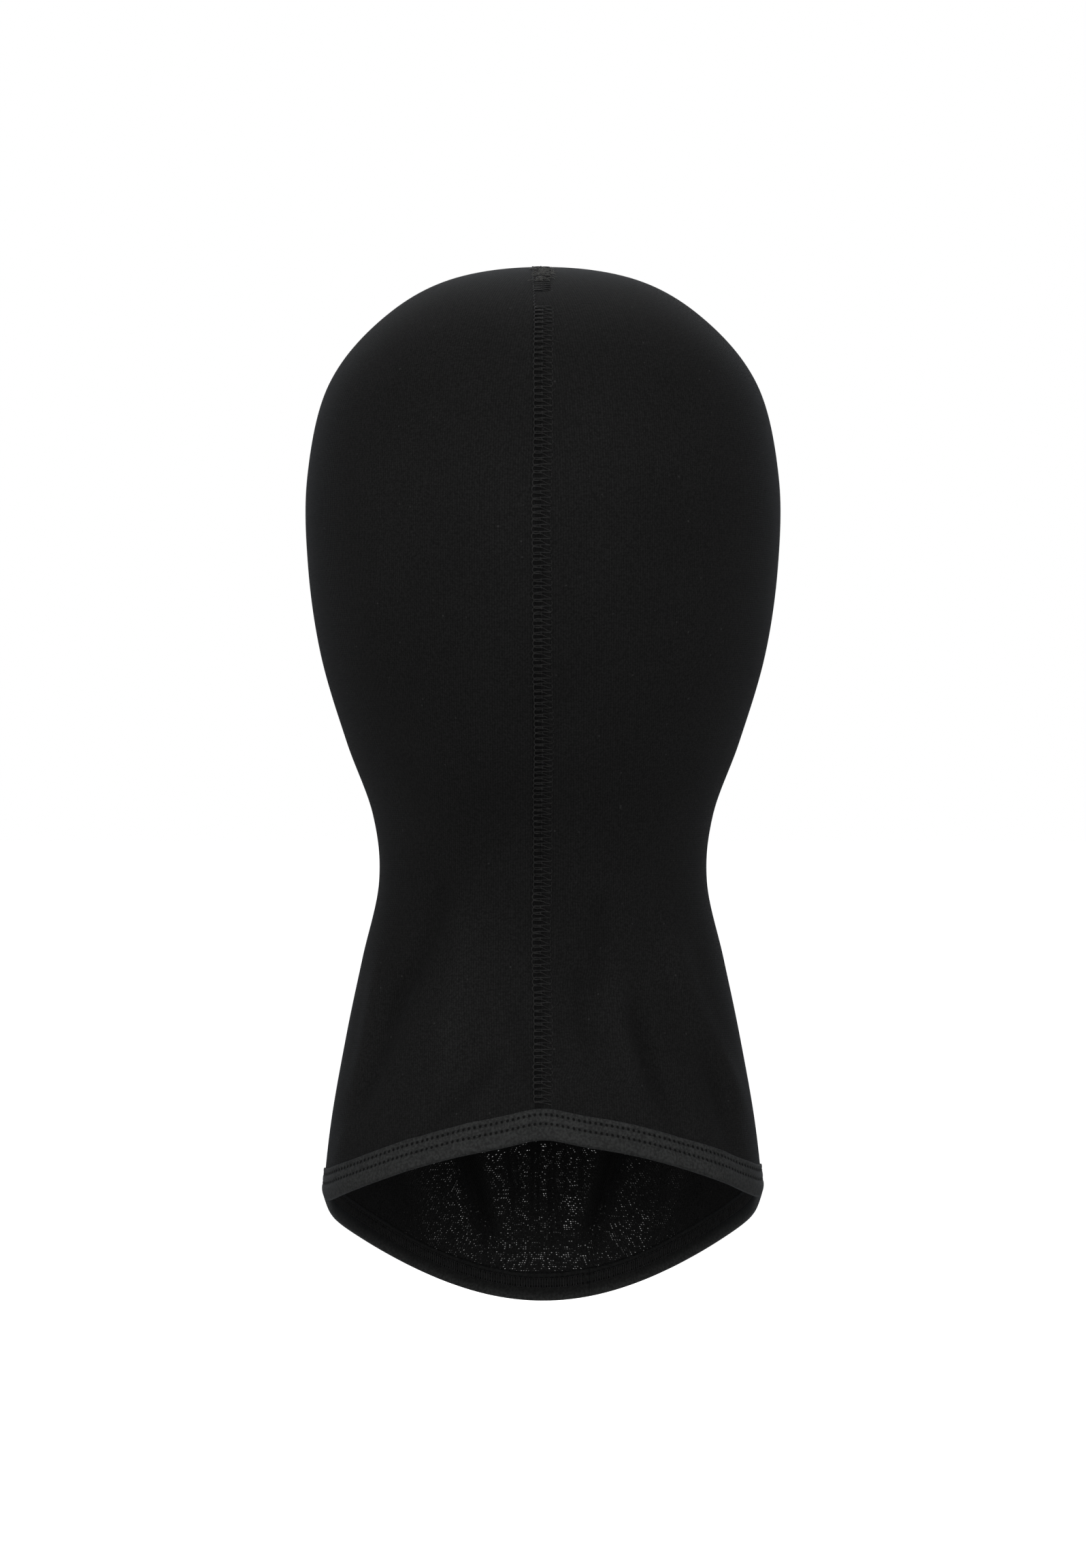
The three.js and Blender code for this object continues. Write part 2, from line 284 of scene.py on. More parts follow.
class Line:
    """A line on the cloth that is followed by its length."""

    def __init__(self, place, start, end):
        self.place = place
        self.values = np.linspace(start, end, 4001)
        points = place(self.values, np.zeros(4001), np.zeros(4001))
        steps = np.linalg.norm(np.diff(points, axis=0), axis=1)
        self.lengths = np.concatenate([[0], np.cumsum(steps)])
        self.length = float(self.lengths[-1])

    def value(self, along):
        return np.interp(along, self.lengths, self.values)

    def at(self, along, across, lift):
        values = [np.asarray(value, float) for value in (along, across, lift)]
        along, across, lift = np.broadcast_arrays(*values)
        return self.place(self.value(along), across, lift)


def seam_place(station, across, lift):
    """A point beside the centre seam; the station is negative in front of the crown."""
    angle = np.where(station < 0, math.pi, 0.0)
    point = lifted(angle, np.maximum(np.abs(station), 5e-3), lift)
    point[..., 0] = across
    return point


HEM_LINE = Line(above_hem, HEM_JOIN, HEM_JOIN + 2 * math.pi)
FACE_LINE = Line(beside_opening, -math.pi / 2, 1.5 * math.pi)
SEAM_LINE = Line(
    seam_place,
    -station_at(OPENING_Z + OPENING_HALF[1] + BINDING),
    station_at(hem_height(0) + BINDING),
)

# ---- meshes -------------------------------------------------------------------------------------


def add_mesh(name, points, face_groups, uv, material, replaces, mirrored=False):
    """A smooth-shaded piece from numpy arrays: points (n, 3), groups of faces, and uv (n, 2).

    On a mirrored piece u is negative past the centre front, and the quads that meet it are kept whole.
    """
    mesh = bpy.data.meshes.new(name)
    faces = [face for group in face_groups for face in np.asarray(group).tolist()]
    mesh.from_pydata(np.asarray(points).reshape(-1, 3).tolist(), [], faces)
    corners = np.empty(len(mesh.loops), int)
    mesh.loops.foreach_get("vertex_index", corners)
    layer = mesh.uv_layers.new(name="UVMap")
    corner_uv = np.asarray(uv, np.float32).reshape(-1, 2)[corners]
    if mirrored:
        quads = corner_uv.reshape(-1, 4, 2)
        widest_quad = 50 * MM
        across_front = np.ptp(quads[..., 0], axis=1) > widest_quad
        quads[across_front, :, 0] = -np.abs(quads[across_front, :, 0])
    layer.data.foreach_set("uv", corner_uv.ravel())
    mesh.polygons.foreach_set("use_smooth", np.ones(len(mesh.polygons), bool))
    mesh.materials.append(material)
    piece = bpy.data.objects.new(name, mesh)
    bpy.context.scene.collection.objects.link(piece)
    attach(piece, "root")
    if replaces:
        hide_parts(*replaces)
    return piece


def add_values(piece, name, values):
    """One number for each point, which the piece's material reads."""
    piece.data.attributes.new(name, "FLOAT", "POINT").data.foreach_set("value", values)


def grid_faces(rows, columns, close_columns=False):
    """Quads of a grid of points, row by row."""
    row = np.arange(rows - 1)[:, None] * columns
    below = row + columns
    c = np.arange(columns if close_columns else columns - 1)[None, :]
    beside = (c + 1) % columns
    return np.stack([row + c, row + beside, below + beside, below + c], -1).reshape(-1, 4)


def tube_arrays(paths, ups, radius, sides):
    """Points, faces and uv of equal tubes; paths and ups are (tubes, points, 3)."""
    count, steps = paths.shape[:2]
    tangent = unit(np.gradient(paths, axis=1))
    side = unit(np.cross(tangent, ups))
    over = unit(np.cross(side, tangent))
    turn = np.arange(sides) * 2 * math.pi / sides
    radius = np.broadcast_to(np.asarray(radius, float), (count, steps))[..., None, None]
    ring = np.cos(turn)[:, None] * side[:, :, None, :] + np.sin(turn)[:, None] * over[:, :, None, :]
    points = paths[:, :, None, :] + radius * ring
    starts = np.arange(count)[:, None] * steps * sides
    walls = (grid_faces(steps, sides, close_columns=True)[None] + starts[..., None]).reshape(-1, 4)
    first = np.arange(sides)[None, ::-1]
    last = (steps - 1) * sides + np.arange(sides)[None]
    groups = [walls, first + starts, last + starts]
    lengths = np.linalg.norm(np.diff(paths, axis=1), axis=2)
    length = np.concatenate([np.zeros((count, 1)), np.cumsum(lengths, axis=1)], axis=1)
    uv = np.stack(np.broadcast_arrays(length[:, :, None], turn / (2 * math.pi)), -1)
    return points.reshape(-1, 3), groups, uv.reshape(-1, 2)


class Threads:
    """Collects tubes of thread and makes one piece of them."""

    def __init__(self):
        self.points, self.groups, self.uv, self.count = [], [], [], 0

    def add(self, paths, ups, radius, sides=6):
        points, groups, uv = tube_arrays(paths, ups, radius, sides)
        self.points.append(points)
        self.groups += [group + self.count for group in groups]
        self.uv.append(uv)
        self.count += len(points)

    def piece(self, name, material, replaces):
        points, uv = np.concatenate(self.points), np.concatenate(self.uv)
        return add_mesh(name, points, self.groups, uv, material, replaces)


def up_of(line, along, across):
    """The cloth's outward direction at points beside a line."""
    step = 0.1 * MM
    return unit(line.at(along, across, step) - line.at(along, across, -step))


# ---- materials ----------------------------------------------------------------------------------


class Material:
    """A Principled material with short calls for its maths nodes."""

    def __init__(self, name, color, roughness, specular, sheen, sheen_roughness, sheen_tint):
        self.material = bpy.data.materials.new(name)
        self.material.use_nodes = True
        self.tree = self.material.node_tree
        self.shader = self.tree.nodes["Principled BSDF"]
        inputs = self.shader.inputs
        inputs["Base Color"].default_value = (*color, 1)
        inputs["Roughness"].default_value = roughness
        inputs["Specular IOR Level"].default_value = specular
        inputs["Sheen Weight"].default_value = sheen
        inputs["Sheen Roughness"].default_value = sheen_roughness
        inputs["Sheen Tint"].default_value = (*sheen_tint, 1)

    def node(self, kind, **settings):
        node = self.tree.nodes.new(kind)
        for key, value in settings.items():
            setattr(node, key, value)
        return node

    def put(self, socket, value):
        if isinstance(value, bpy.types.NodeSocket):
            self.tree.links.new(value, socket)
        else:
            socket.default_value = value

    def maths(self, operation, *values, clamp=False):
        node = self.node("ShaderNodeMath", operation=operation, use_clamp=clamp)
        for socket, value in zip(node.inputs, values):
            self.put(socket, value)
        return node.outputs[0]

    def split(self, vector):
        """The three parts of a vector."""
        node = self.node("ShaderNodeSeparateXYZ")
        self.put(node.inputs[0], vector)
        return tuple(node.outputs)

    def uv(self):
        return self.split(self.node("ShaderNodeUVMap", uv_map="UVMap").outputs[0])[:2]

    def place(self):
        """The point that is shaded, as a vector."""
        return self.node("ShaderNodeTexCoord").outputs["Object"]

    def attribute(self, name):
        return self.node("ShaderNodeAttribute", attribute_name=name).outputs["Fac"]

    def distance(self, a, b):
        """The length of the vector (a, b)."""
        squares = self.maths("ADD", self.maths("MULTIPLY", a, a), self.maths("MULTIPLY", b, b))
        return self.maths("SQRT", squares)

    def wave(self, value, pitch, shift=0.0):
        """1 at whole pitches and 0 between them."""
        turns = self.maths("MULTIPLY_ADD", value, 2 * math.pi / pitch, shift)
        return self.maths("MULTIPLY_ADD", self.maths("COSINE", turns), 0.5, 0.5)

    def noise(self, size, detail=2.0, stretch=(1, 1, 1), seed=0.0):
        """Noise from 0 to 1 with lumps of about the given size."""
        mapping = self.node("ShaderNodeMapping")
        self.put(mapping.inputs["Vector"], self.place())
        mapping.inputs["Location"].default_value = (seed, seed, seed)
        mapping.inputs["Scale"].default_value = stretch
        noise = self.node("ShaderNodeTexNoise")
        self.put(noise.inputs["Vector"], mapping.outputs[0])
        noise.inputs["Scale"].default_value = 0.5 / size
        noise.inputs["Detail"].default_value = detail
        return noise.outputs[0]

    def span(self, value, low, high, to_low=0.0, to_high=1.0):
        """A smooth step from to_low, where the value is low, to to_high, where it is high."""
        node = self.node("ShaderNodeMapRange", interpolation_type="SMOOTHSTEP")
        ends = {"From Min": low, "From Max": high, "To Min": to_low, "To Max": to_high}
        for key, end in {"Value": value, **ends}.items():
            self.put(node.inputs[key], end)
        return node.outputs[0]

    def shade(self, factor, color):
        """Makes the base colour a colour times a number."""
        node = self.node("ShaderNodeMix", data_type="RGBA", blend_type="MULTIPLY")
        node.inputs[0].default_value = 1
        self.put(node.inputs[6], (*color, 1))
        grey = self.node("ShaderNodeCombineColor")
        for socket in grey.inputs[:3]:
            self.put(socket, factor)
        self.put(node.inputs[7], grey.outputs[0])
        self.put(self.shader.inputs["Base Color"], node.outputs[2])

    def bump(self, height, distance, strength=1.0):
        node = self.node("ShaderNodeBump")
        node.inputs["Distance"].default_value = distance
        node.inputs["Strength"].default_value = strength
        self.put(node.inputs["Height"], height)
        self.put(self.shader.inputs["Normal"], node.outputs[0])


COOL = (0.80, 0.88, 1.0)  # the tint of every sheen but the label's


def lint_flecks(m):
    """A few small bright spots, with none in about half of the cells."""
    lint = m.node("ShaderNodeTexVoronoi")
    m.put(lint.inputs["Vector"], m.place())
    lint.inputs["Scale"].default_value = 1 / (3.5 * MM)
    chosen = m.node("ShaderNodeSeparateColor")
    m.put(chosen.inputs[0], lint.outputs["Color"])
    spot = m.span(lint.outputs["Distance"], 0.12, 0.05)
    return m.maths("MULTIPLY", spot, m.span(chosen.outputs[0], 0.55, 1.0))


def seam_shadow(m, x, y, z):
    """How dark the cloth is under the seam's stitches: darker on the side of the rungs."""
    sewn = m.maths("MAXIMUM", m.span(y, 0.0, 5 * MM), m.span(z, OPENING_Z, OPENING_Z + 5 * MM))
    above = m.span(z, SKIPPED[0], SKIPPED[0] + 1 * MM)
    below = m.span(z, SKIPPED[1], SKIPPED[1] - 1 * MM)
    in_front = m.span(y, 0.0, -5 * MM)
    stitched = m.maths("MAXIMUM", m.maths("MAXIMUM", above, below), in_front)
    near = m.span(m.maths("ABSOLUTE", x), *SEAM_SHADOW)
    covered = m.maths("MULTIPLY", near, m.maths("MULTIPLY", sewn, stitched))
    rung_side = m.span(x, SEAM_LINES[1] - 0.4 * MM, SEAM_LINES[1] + 0.4 * MM, 0.1, 0.5)
    return m.maths("MULTIPLY", covered, rung_side)


def pinholes(m, u, v, y, z):
    """Holes between the stitches of the bib, where the knit is stretched and lit from outside."""
    in_bib = m.maths("MULTIPLY", m.span(z, *BIB_TOP), m.span(y, *BIB_BACK))
    column = m.maths("ADD", m.maths("DIVIDE", u, WALE), 0.5)
    row = m.maths("DIVIDE", v, COURSE)
    aside = m.maths("SUBTRACT", m.maths("FRACT", column), 0.5)
    down = m.maths("SUBTRACT", m.maths("FRACT", row), 0.5)
    dot = m.span(m.distance(aside, down), 0.36, 0.18)
    cell = m.node("ShaderNodeCombineXYZ")
    m.put(cell.inputs[0], m.maths("FLOOR", column))
    m.put(cell.inputs[1], m.maths("FLOOR", row))
    random = m.node("ShaderNodeTexWhiteNoise", noise_dimensions="2D")
    m.put(random.inputs["Vector"], cell.outputs[0])
    chance = m.span(random.outputs[0], 0.5, 1.0, 0.06)
    streaks = m.span(m.noise(2.2 * MM, 2.0, (0.3, 1, 2.2), seed=5.0), 0.36, 0.6, 0.45)
    patches = m.span(m.noise(12 * MM, 2.0, seed=11.0), 0.3, 0.52, 0.62)
    stretched = m.maths("MULTIPLY", m.maths("MULTIPLY", patches, streaks), m.attribute("stretch"))
    hole = m.maths("MULTIPLY", m.maths("MULTIPLY", dot, in_bib), m.maths("MULTIPLY", stretched, chance))
    m.put(m.shader.inputs["Alpha"], m.maths("MULTIPLY_ADD", hole, -0.66, 1.0))


def knit_material():
    """Black single jersey: columns of small V stitches, slightly open where it is stretched."""
    m = Material("knit_jersey", (0.02, 0.02, 0.021), 0.85, 0.25, 0.13, 0.26, COOL)
    u, v = m.uv()
    x, y, z = m.split(m.place())
    column = m.maths("FRACT", m.maths("DIVIDE", u, WALE))
    across = m.maths("ABSOLUTE", m.maths("SUBTRACT", column, 0.5))
    stitch = m.wave(m.maths("MULTIPLY_ADD", across, 1.5 * COURSE, v), COURSE)
    fuzz = m.noise(0.25 * MM, 1.0)
    height = m.maths("MULTIPLY", m.span(across, 0.5, 0.12), m.maths("MULTIPLY_ADD", stitch, 0.55, 0.45))
    height = m.maths("MULTIPLY_ADD", fuzz, 0.35, height)
    m.bump(height, 0.10 * MM, 0.75)

    patches = m.span(m.noise(22 * MM, 3.0, seed=3.0), 0.35, 0.65, 0.93, 1.07)
    specks = m.span(m.noise(0.32 * MM, 2.0, seed=9.0), 0.3, 0.7, 0.64, 1.38)
    # Painted shade and painted light from the folds: the colour is darker in their valleys and lighter on
    # their ridges, by the relief attribute.
    patches = m.maths("MULTIPLY", patches, m.span(m.attribute("relief"), -2.2, 2.2, 0.80, 1.20))
    # Painted shade in the knit's grooves: the colour is darker where the stitch relief is low. The fuzz
    # in it is random tone.
    shade = m.maths("MULTIPLY_ADD", height, 0.48, 0.66)
    shade = m.maths("MULTIPLY", shade, m.maths("MULTIPLY", patches, specks))
    shade = m.maths("MULTIPLY", shade, m.maths("SUBTRACT", 1.0, seam_shadow(m, x, y, z)))
    m.shade(m.maths("MULTIPLY_ADD", lint_flecks(m), 2.4, shade), (0.018, 0.018, 0.0181))
    pinholes(m, u, v, y, z)
    return m.material


def needle_hole_shade(m, along, up, row):
    """The painted shade of one needle row: a dark spot in the hole at every stitch, and a fainter dark
    line in the groove between them.
    """
    beside = m.maths("ABSOLUTE", m.maths("SUBTRACT", up, row))
    turn = m.maths("ADD", m.maths("DIVIDE", along, STITCH), 0.5)
    past = m.maths("MULTIPLY", m.maths("SUBTRACT", m.maths("FRACT", turn), 0.5), STITCH)
    hole = m.span(m.distance(past, beside), 0.68 * MM, 0.32 * MM, 0.0, 0.95)
    groove = m.span(beside, 0.8 * MM, 0.1 * MM, 0.0, 0.26)
    return m.maths("MAXIMUM", hole, groove)


def binding_material():
    """Dark grey elastic: fine ribs across it, a needle hole at each stitch, and a soft satin bloom; its
    colour has painted shade between the ribs, in the needle holes and on the inner leg.
    """
    m = Material("elastic_binding", (0.05, 0.05, 0.05), 0.62, 0.22, 0.16, 0.35, COOL)
    along, up = m.uv()
    fleck = m.noise(0.28 * MM, 2.0, seed=2.0)
    height = m.maths("MULTIPLY_ADD", fleck, 0.8, m.wave(along, 0.45 * MM))
    m.bump(height, 0.06 * MM, 0.8)
    grain = m.span(m.noise(0.4 * MM, 2.0, seed=21.0), 0.32, 0.68, 0.68, 1.34)
    wear_and_inner_shade = m.span(m.noise(6 * MM, 2.0, seed=7.0), 0.3, 0.7, 0.94, 1.06)
    wear_and_inner_shade = m.maths("MULTIPLY", wear_and_inner_shade, grain)
    # Painted shade: the binding's inner leg is darkened above its fold, where the cloth around it shades
    # it. The noise and grain before this are wear and random tone.
    wear_and_inner_shade = m.maths("MULTIPLY", wear_and_inner_shade, m.maths("MULTIPLY_ADD", m.attribute("inner"), -0.66, 1.0))
    # Painted shade between the ribs: the colour is darker where their relief is low. The flecks in it are
    # random tone.
    tone = m.maths("MULTIPLY", m.maths("MULTIPLY_ADD", height, 0.34, 0.66), wear_and_inner_shade)
    # Painted shade in the needle holes and in the grooves of the rows.
    holes = m.maths("MAXIMUM", *(needle_hole_shade(m, along, up, row) for row in NEEDLE_ROWS))
    m.shade(m.maths("MULTIPLY", tone, m.maths("SUBTRACT", 1.0, holes)), (0.0565, 0.058, 0.0572))
    return m.material


def thread_material(name, tone, sheen):
    """Two-ply sewing thread with its twist."""
    m = Material(name, tone, 0.6, 0.4, sheen, 0.4, COOL)
    along, around = m.uv()
    twist = m.wave(m.maths("MULTIPLY_ADD", around, 0.5 * MM, along), 0.5 * MM)
    m.bump(twist, 0.05 * MM, 0.8)
    fuzz = m.span(m.noise(0.8 * MM, 2.0, seed=4.0), 0.3, 0.7, 0.6, 1.35)
    # Painted shade between the plies of the twist. The fuzz is random tone.
    m.shade(m.maths("MULTIPLY", fuzz, m.maths("MULTIPLY_ADD", twist, 0.5, 0.6)), tone)
    return m.material


def label_material():
    """A blank woven satin label."""
    m = Material("label_satin", (0.5, 0.5, 0.48), 0.45, 0.4, 0.1, 0.3, (1, 1, 1))
    across, along = m.uv()
    weave = m.maths("MULTIPLY", m.wave(across, 0.25 * MM), m.wave(along, 0.4 * MM))
    m.bump(weave, 0.04 * MM, 0.6)
    # Painted shade between the woven threads, by the weave's relief.
    m.shade(m.maths("MULTIPLY_ADD", weave, 0.25, 0.8), (0.52, 0.52, 0.5))
    return m.material


KNIT = knit_material()
ELASTIC = binding_material()
SEAM_THREAD = thread_material("seam_thread", (0.043, 0.042, 0.040), 0.2)
ROW_THREAD = thread_material("row_thread", (0.055, 0.056, 0.055), 0.15)
INNER_THREAD = thread_material("inner_thread", (0.030, 0.030, 0.030), 0.1)
# A pale thread colour: a painted highlight for the frayed ends behind the crown.
FLUFF_HIGHLIGHT = thread_material("fluff_painted_highlight", (0.26, 0.26, 0.24), 0.3)
LABEL = label_material()

# ---- the knit body ------------------------------------------------------------------------------


def knit_columns():
    """Angles of the grid's columns from centre back to centre back: closer at the seam and on the bib."""
    bib_side = 2.55
    near = np.array([0.0, 0.003, 0.008, 0.014, 0.021, 0.029, 0.038, 0.050, 0.066])
    wide = np.linspace(0.088, bib_side, 78)
    bib = np.linspace(bib_side, math.pi, 62)[1:]
    half = np.concatenate([near, wide, bib])
    return np.concatenate([half, 2 * math.pi - half[-2::-1]])


def body_grid():
    """Angle and station of every point of the knit, from the crown to inside the hem's fold."""
    angle = knit_columns()[None, :]
    share = np.concatenate([[0.0008], np.linspace(0.006, 1, 175)])[:, None]
    level = station_at(HEM[0])
    station = share * (level + (station_at(hem_height(angle) + CLOTH + WALL) - level) * share**3)
    return np.broadcast_arrays(angle, station)


def wale_and_course(points, angle, station):
    """The knit's own coordinates: around from the centre back, leaning in the crown, and down."""
    lean_ends = -100 * MM
    steps = np.linalg.norm(np.diff(points, axis=1), axis=2)
    arc = np.concatenate([np.zeros((len(points), 1)), np.cumsum(steps, axis=1)], axis=1)
    lean = 0.25 * (STATIONS[:, 2].max() - profile(2, station))
    lean *= smooth((station_at(lean_ends) - station) / 2)
    half = arc[:, angle.shape[1] // 2][:, None]
    side = np.where(angle <= math.pi, 1.0, -1.0)
    from_back = np.where(angle <= math.pi, arc, 2 * half - arc)
    levels = np.linspace(0, LAST_STATION, 600)
    side_line = middle(np.full(600, math.pi / 2), levels)
    down = np.concatenate([[0], np.cumsum(np.linalg.norm(np.diff(side_line, axis=0), axis=1))])
    return np.stack([side * (from_back + lean), np.interp(station, levels, down)], -1)


def in_opening(points):
    """Cells whose corners all lie inside the face opening, or closer to it than the binding's fold."""
    margin = 2.2 * MM
    x = points[..., 0] / (OPENING_HALF[0] + margin)
    z = (points[..., 2] - OPENING_Z) / (OPENING_HALF[1] + margin)
    inside = (x**2 + z**2 < 1) & (points[..., 1] < 0)
    return inside[:-1, :-1] & inside[1:, :-1] & inside[:-1, 1:] & inside[1:, 1:]


def stretch_of(at):
    """How open the bib's knit is, from 0 to 1: shut in its deep folds and towards its sides."""
    x, z = at[..., 0], at[..., 2]
    shut_in_deep = (1.5, 1.5, 0.5, 0.5, 0.6)
    shut_in_narrow = 0.38
    shut_down_to = -312 * MM
    count = len(shut_in_deep)
    x_top, z_top, x_low, _, width, _ = FRONT_FOLDS[:count].T
    x_low = x_low + 0.18 * (x_top - x_low)
    z_low = np.full(count, shut_down_to)
    deep = np.stack([x_top, z_top, x_low, z_low, width * 1.3, shut_in_deep], -1)
    narrow = FRONT_FOLDS[count:].copy()
    narrow[:, -1] = shut_in_narrow
    shut = fold_sum(deep, x, z) + fold_sum(narrow, x, z)
    sides = smooth((66 * MM - np.abs(x)) / (34 * MM))
    return np.clip(1 - shut, 0, 1) * (0.04 + 0.96 * sides)


def seam_bed(at):
    """How far the seam's stitches press the cloth in."""
    x, y, z = at[..., 0], at[..., 1], at[..., 2]
    sewn = (y > 0) | (z > OPENING_Z)
    edge = np.abs(x - (SEAM_LINES[0] + SEAM_LINES[2]) / 2) - (SEAM_LINES[0] - SEAM_LINES[2]) / 2
    under = smooth((SKIPPED[0] + 1 * MM - z) / (2 * MM))
    over = smooth((z - SKIPPED[1] + 1 * MM) / (2 * MM))
    bare = (y > 0) * under * over
    bed = SEAM_BED * smooth((0.5 * MM - edge) / (1.3 * MM))
    middle_line = 0.12 * MM * np.exp(-(((x - SEAM_LINES[1]) / (0.5 * MM)) ** 2))
    return sewn * (bed + middle_line) * (1 - 0.9 * bare)


def knit_body():
    angle, station = body_grid()
    centre = cloth(angle, station)
    out = normal_of(cloth, angle, station)
    centre = centre - out * seam_bed(centre)[..., None]
    rows, columns = angle.shape
    size = rows * columns
    keep = ~in_opening(centre)
    cells = grid_faces(rows, columns).reshape(rows - 1, columns - 1, 4)
    outer = cells[keep]
    walls = []
    padded = np.pad(keep, 1)
    # For each side of a cell: where its neighbour lies in the padded grid, and the corners they share.
    for (down, right), (a, b) in (((0, 1), (0, 1)), ((2, 1), (2, 3)), ((1, 0), (3, 0)), ((1, 2), (1, 2))):
        beside = padded[down : down + rows - 1, right : right + columns - 1]
        edge = cells[keep & ~beside]
        walls.append(np.stack([edge[:, b], edge[:, a], edge[:, a] + size, edge[:, b] + size], -1))
    points = np.concatenate([centre + out * CLOTH / 2, centre - out * CLOTH / 2]).reshape(-1, 3)
    uv = wale_and_course(centre, angle, station).reshape(-1, 2)
    groups = [outer, outer[:, ::-1] + size, *walls]
    used = np.unique(np.concatenate([group.ravel() for group in groups]))
    order = np.full(2 * size, -1)
    order[used] = np.arange(len(used))
    groups = [order[group] for group in groups]
    both = np.concatenate([uv, uv])[used]
    body = add_mesh("knit_body", points[used], groups, both, KNIT, ["hood_body"], mirrored=True)
    add_values(body, "stretch", np.concatenate([stretch_of(centre).ravel()] * 2)[used])
    # The folds' height in millimetres, which the knit's material turns into painted shade in the valleys
    # and painted light on the ridges.
    add_values(body, "relief", np.concatenate([fold_height(angle, station).ravel()] * 2)[used] / MM)
    return body


# ---- the bindings -------------------------------------------------------------------------------


def binding_lift(up):
    """How far the binding's outside stands off the middle of the cloth: pressed in at the needle rows."""
    edge = 0.2 * MM * smooth((up - (BINDING - 0.5 * MM)) / (0.5 * MM))
    puff = 0.80 * MM + 0.16 * MM * np.exp(-(((up - 2.4 * MM) / (1.9 * MM)) ** 2))
    rows = sum(0.16 * MM * np.exp(-(((up - row) / (0.7 * MM)) ** 2)) for row in NEEDLE_ROWS)
    return puff - rows - edge


def binding_section():
    """The folded strip's section as (up, lift): around the outside and back along the inside."""
    fold = 0.95 * MM
    outer_steps, inner_steps = 22, 9
    turn = np.linspace(0, math.pi, 11)[1:-1]
    flat = np.linspace(BINDING, fold, outer_steps)
    up = np.concatenate([flat, fold - fold * np.sin(turn), flat[::-1]])
    side = np.concatenate([np.ones(outer_steps), np.cos(turn), -np.ones(outer_steps)])
    outside = np.stack([up, side * binding_lift(np.maximum(up, fold))], -1)
    flat = np.linspace(BINDING, fold, inner_steps)
    inner = np.maximum(binding_lift(flat) - WALL, CLOTH / 2 + 0.02 * MM)
    inside_up = np.concatenate([flat, [WALL], flat[::-1]])
    inside_lift = np.concatenate([inner, [0], -inner[::-1]])
    return np.concatenate([outside, np.stack([inside_up, inside_lift], -1)[::-1]])


def holes_along(line):
    """Where the needle goes through: at every whole stitch, clear of the join."""
    return STITCH * np.arange(1, int(line.length / STITCH))


def binding(line, name, node):
    """One binding: a strip folded over the cloth's edge, with a pucker at every stitch."""
    section = binding_section()
    clear = 0.06 * MM
    stops = np.linspace(clear, line.length - clear, int(line.length / (0.3 * MM)))
    along = stops[:, None]
    up, lift = section[None, :, 0], section[None, :, 1]
    at_hole = np.exp(-(((along + STITCH / 2) % STITCH - STITCH / 2) / (0.36 * MM)) ** 2)
    near_row = sum(np.exp(-(((up - row) / (0.42 * MM)) ** 2)) for row in NEEDLE_ROWS)
    pinch = 0.32 * MM * at_hole * near_row * np.sign(lift)
    wobble = 0.12 * MM * np.sin(along / (17 * MM)) + 0.08 * MM * np.sin(along / (6.1 * MM) + 1)
    points = line.at(along, up * (1 + wobble / BINDING), lift - pinch)
    quads = grid_faces(len(stops), len(section), close_columns=True)
    ring = np.arange(len(section))[None]
    caps = [ring[:, ::-1], (len(stops) - 1) * len(section) + ring]
    uv = np.stack(np.broadcast_arrays(along, up), -1)
    piece = add_mesh(name, points, [quads, *caps], uv, ELASTIC, [node])
    # The inner leg above the fold, where the binding's material paints shade.
    inner = (lift < 0) * smooth((up - 0.8 * MM) / (3.2 * MM)) + 0 * along
    add_values(piece, "inner", inner.ravel())
    return piece


def needle_row(line, name, node, row):
    """One row of stitches on the outside: a short bridge of thread from hole to hole."""
    start = holes_along(line)[:-1]
    t = np.linspace(0, 1, 7)
    along = start[:, None] + STITCH * (0.23 + 0.54 * t)[None]
    arch = np.sin(math.pi * t)[None] ** 0.6
    level = float(binding_lift(np.array(row)))
    across = row + (rng.normal(0, 0.04 * MM, (len(start), 1)) + 0.05 * MM * np.sin(math.pi * t))
    lift = level - 0.24 * MM + 0.24 * MM * arch + rng.normal(0, 0.02 * MM, (len(start), 1))
    radius = 0.13 * MM * (0.7 + 0.3 * arch)
    threads = Threads()
    threads.add(line.at(along, across, lift), up_of(line, along, across), radius)
    return threads.piece(name, ROW_THREAD, [node])


def looper_rows(line, name, node):
    """The thread on the inside: two strands that cross between the needle rows at every stitch."""
    start = holes_along(line)
    steps = 10 * (len(start) - 1)
    t = np.linspace(0, len(start) - 1, steps + 1)
    centre, half = (ROW_OUTER + ROW_INNER) / 2, (ROW_OUTER - ROW_INNER) / 2 + 0.3 * MM
    threads = Threads()
    for shift in (0.0, 0.5):
        swing = np.cos(2 * math.pi * (t + shift))
        even = start[0] + (start[-1] - start[0]) * t / t[-1]
        along = even + 0.35 * MM * np.sin(4 * math.pi * (t + shift))
        across = centre + half * swing
        lift = -(binding_lift(across) + 0.10 * MM + 0.05 * MM * np.cos(4 * math.pi * t + shift * 6))
        threads.add(line.at(along, across, lift)[None], up_of(line, along, across)[None], 0.15 * MM)
    return threads.piece(name, INNER_THREAD, [node])


def bartack(line, name, node):
    """Dense zigzag stitches over the place where the binding's ends meet."""
    strokes = 15
    t = np.linspace(0, strokes, strokes * 6 + 1)
    across = BINDING / 2 + (BINDING / 2 - 0.7 * MM) * np.clip(1.15 * np.cos(math.pi * t), -1, 1)
    along = (t / strokes - 0.5) * 2.0 * MM
    value = np.where(along < 0, line.length + along, along)
    lift = binding_lift(across) + 0.07 * MM
    threads = Threads()
    threads.add(line.at(value, across, lift)[None], up_of(line, value, across)[None], 0.14 * MM)
    return threads.piece(name, ROW_THREAD, [node])


# ---- the flatlock seam --------------------------------------------------------------------------


